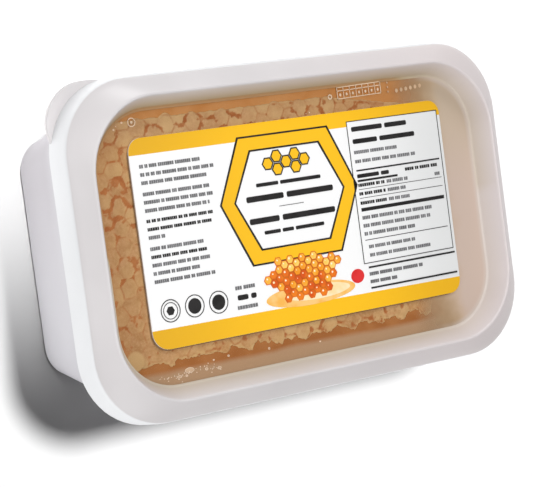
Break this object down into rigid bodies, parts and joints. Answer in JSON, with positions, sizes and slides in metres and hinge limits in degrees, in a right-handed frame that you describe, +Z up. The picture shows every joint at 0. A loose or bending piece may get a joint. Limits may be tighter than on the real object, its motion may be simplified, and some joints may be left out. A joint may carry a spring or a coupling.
{
  "type": "cut honeycomb piece in a shut plastic tub",
  "caption": "Shut rectangular plastic tub with a sunken clear lid panel and label, holding a piece of capped honeycomb in its honey.",
  "frame": {"origin": "centre of the overall box at the height of the base", "axes": "+Z up out of the lid, +X along the long side, the pull tab at the -X +Y corner"},
  "size_m": [0.1472, 0.0932, 0.041],
  "materials": {
    "tub_plastic": "milky translucent moulded plastic, satin",
    "lid_plastic": "milky rim with a clear hazy panel, smooth",
    "label_paper": "printed film label, white with warm yellow bands",
    "comb_wax": "tan waxy cell cappings, damp with honey",
    "honey_syrup": "clear amber liquid honey"
  },
  "bodies": {
    "root": {"tub": "tub_plastic", "lid": "lid_plastic", "label": "label_paper", "comb": "comb_wax", "honey": "honey_syrup"}
  },
  "joints": []
}
